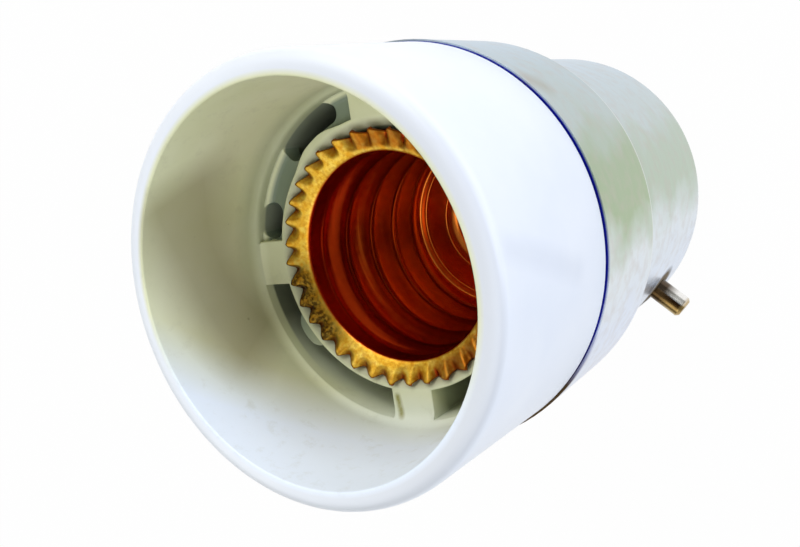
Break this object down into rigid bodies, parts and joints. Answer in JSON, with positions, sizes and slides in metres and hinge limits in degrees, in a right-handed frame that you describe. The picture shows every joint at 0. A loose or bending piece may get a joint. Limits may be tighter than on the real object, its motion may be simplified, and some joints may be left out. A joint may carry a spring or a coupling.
{
  "type": "lamp socket adapter",
  "caption": "Lamp socket adapter: white shroud around a brass screw lamp socket with a toothed flange, on a two-tier metal bayonet cap with side pins.",
  "frame": {"origin": "centre of the contact plane of the bayonet end, where the part stands", "axes": "+Z along the axis to the mouth, X through the bayonet pins, Y through the contacts"},
  "size_m": [0.027, 0.0244, 0.0376],
  "materials": {
    "white_plastic": "glossy white moulded plastic",
    "shell_brass": "pressed brass, tarnished in the bore",
    "contact_brass": "rolled brass",
    "cap_metal": "satin drawn sheet",
    "pin_metal": "nickel-plated turned brass",
    "black_glass": "black opaque glass",
    "solder": "dull tin solder",
    "copper_wire": "tinned copper",
    "wire_sleeve": "matte insulation"
  },
  "bodies": {
    "adapter": {"body_moulding": "white_plastic", "screw_shell": "shell_brass", "contact_rivet": "contact_brass", "bayonet_cap": "cap_metal", "bayonet_pins": "pin_metal", "cap_insulator": "black_glass", "contact_plates": "contact_brass", "contact_solder": "solder", "shell_lead_core": "copper_wire", "shell_lead_sleeve": "wire_sleeve", "centre_lead_core": "copper_wire", "centre_lead_sleeve": "wire_sleeve", "shell_solder": "solder", "centre_solder": "solder"},
    "contact": {"centre_contact": "contact_brass"}
  },
  "joints": [
    {"name": "contact_press", "type": "hinge", "parent": "adapter", "child": "contact", "pos_m": [0.0054, 0, 0.01235], "axis": [0, -1, 0], "range_deg": [0, 8.5], "stiffness_Nm_per_rad": 0.15}
  ]
}
